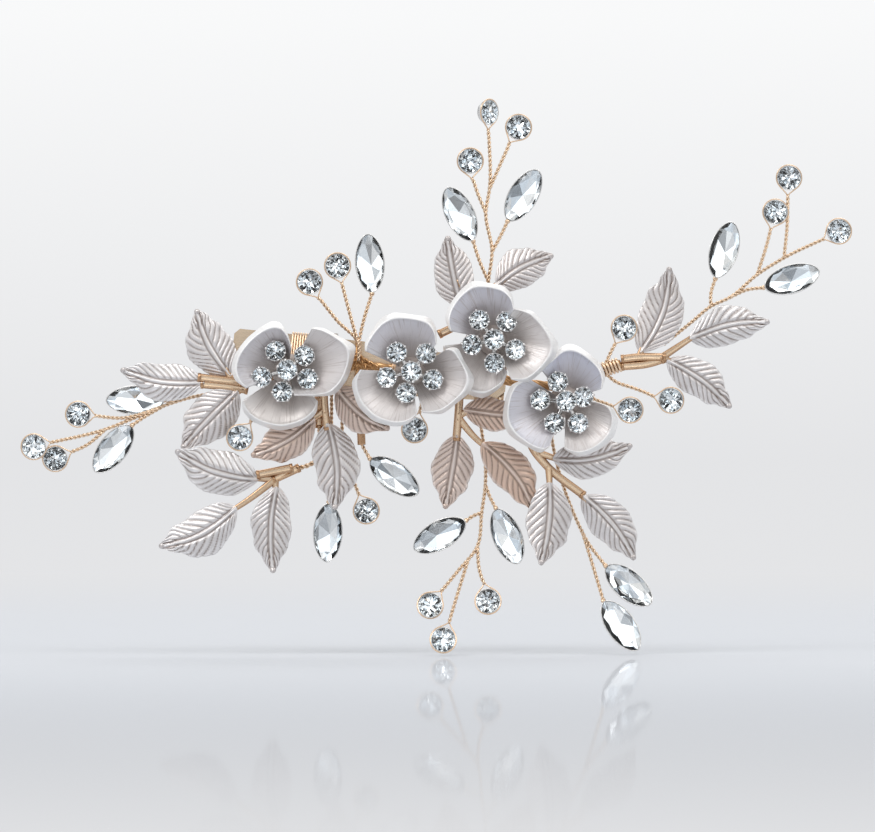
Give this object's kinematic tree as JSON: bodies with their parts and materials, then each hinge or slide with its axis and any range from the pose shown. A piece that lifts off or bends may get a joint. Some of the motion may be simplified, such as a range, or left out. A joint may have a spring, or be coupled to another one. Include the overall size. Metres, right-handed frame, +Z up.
{
  "type": "hair clip",
  "caption": "Floral rhinestone hair clip: cupped cast flowers, embossed leaf sprigs and crystals on twisted wire stems, carried by a spring-jawed alligator clip.",
  "frame": {"origin": "middle of the clip's grip, on the plane where the closed jaw meets the top plate", "axes": "+X along the ornament's length to the right as worn facing the viewer, +Y into the hair, +Z up"},
  "size_m": [0.1613, 0.0317, 0.1064],
  "materials": {
    "pearl_petal": "matte pearl lacquer, paler on the rolled rims",
    "satin_leaf": "satin silver over gold-tone casting",
    "gold_wire": "pale rose-gold plated twisted wire",
    "clip_gold": "gold-tone plated sheet steel",
    "spring_steel": "bright spring steel",
    "round_crystal": "foil-backed round cut crystal in a metal bezel",
    "navette_crystal": "foil-backed navette cut crystal",
    "cluster_crystal": "round cut crystals in silver claw cups"
  },
  "bodies": {
    "ornament": {"left_stone_1": "round_crystal", "left_stone_2": "round_crystal", "left_stone_3": "round_crystal", "upper_left_stone_1": "round_crystal", "upper_left_stone_2": "round_crystal", "top_stone_1": "round_crystal", "top_stone_2": "round_crystal", "top_stone_3": "round_crystal", "far_right_stone_1": "round_crystal", "far_right_stone_2": "round_crystal", "far_right_stone_3": "round_crystal", "right_stone_1": "round_crystal", "right_stone_2": "round_crystal", "right_stone_3": "round_crystal", "bottom_stone_1": "round_crystal", "bottom_stone_2": "round_crystal", "bottom_stone_3": "round_crystal", "lower_stone_1": "round_crystal", "lower_stone_2": "round_crystal", "lower_stone_3": "round_crystal", "left_navette_1": "navette_crystal", "left_navette_2": "navette_crystal", "upper_left_navette": "navette_crystal", "top_navette_1": "navette_crystal", "top_navette_2": "navette_crystal", "far_right_navette_1": "navette_crystal", "far_right_navette_2": "navette_crystal", "lower_navette_1": "navette_crystal", "lower_navette_2": "navette_crystal", "bottom_navette_1": "navette_crystal", "bottom_navette_2": "navette_crystal", "bottom_right_navette_1": "navette_crystal", "bottom_right_navette_2": "navette_crystal", "left_wire_spray": "gold_wire", "upper_left_wire_spray": "gold_wire", "top_wire_spray": "gold_wire", "far_right_wire_spray": "gold_wire", "bottom_wire_spray": "gold_wire", "bottom_right_wire_spray": "gold_wire", "wire_spine": "gold_wire", "left_leaf_sprig": "satin_leaf", "lower_left_leaf_sprig": "satin_leaf", "centre_left_leaf_sprig": "satin_leaf", "top_leaf_sprig": "satin_leaf", "bottom_centre_leaf_sprig": "satin_leaf", "bottom_right_leaf_sprig": "satin_leaf", "right_leaf_sprig": "satin_leaf", "flower_1": "pearl_petal", "flower_2": "pearl_petal", "flower_3": "pearl_petal", "flower_4": "pearl_petal", "flower_1_stones": "cluster_crystal", "flower_2_stones": "cluster_crystal", "flower_3_stones": "cluster_crystal", "flower_4_stones": "cluster_crystal", "clip_top_plate": "clip_gold", "clip_hinge_pin": "spring_steel", "clip_spring_coil": "spring_steel"},
    "jaw": {"clip_jaw": "clip_gold", "clip_spring_jaw_leg": "spring_steel"}
  },
  "joints": [
    {"name": "jaw_hinge", "type": "hinge", "parent": "ornament", "child": "jaw", "pos_m": [-0.01393, 0.003, 0.00142], "axis": [0.1011, 0, 0.9949], "range_deg": [0, 26], "stiffness_Nm_per_rad": 0.15, "springref_deg": -34.38}
  ]
}
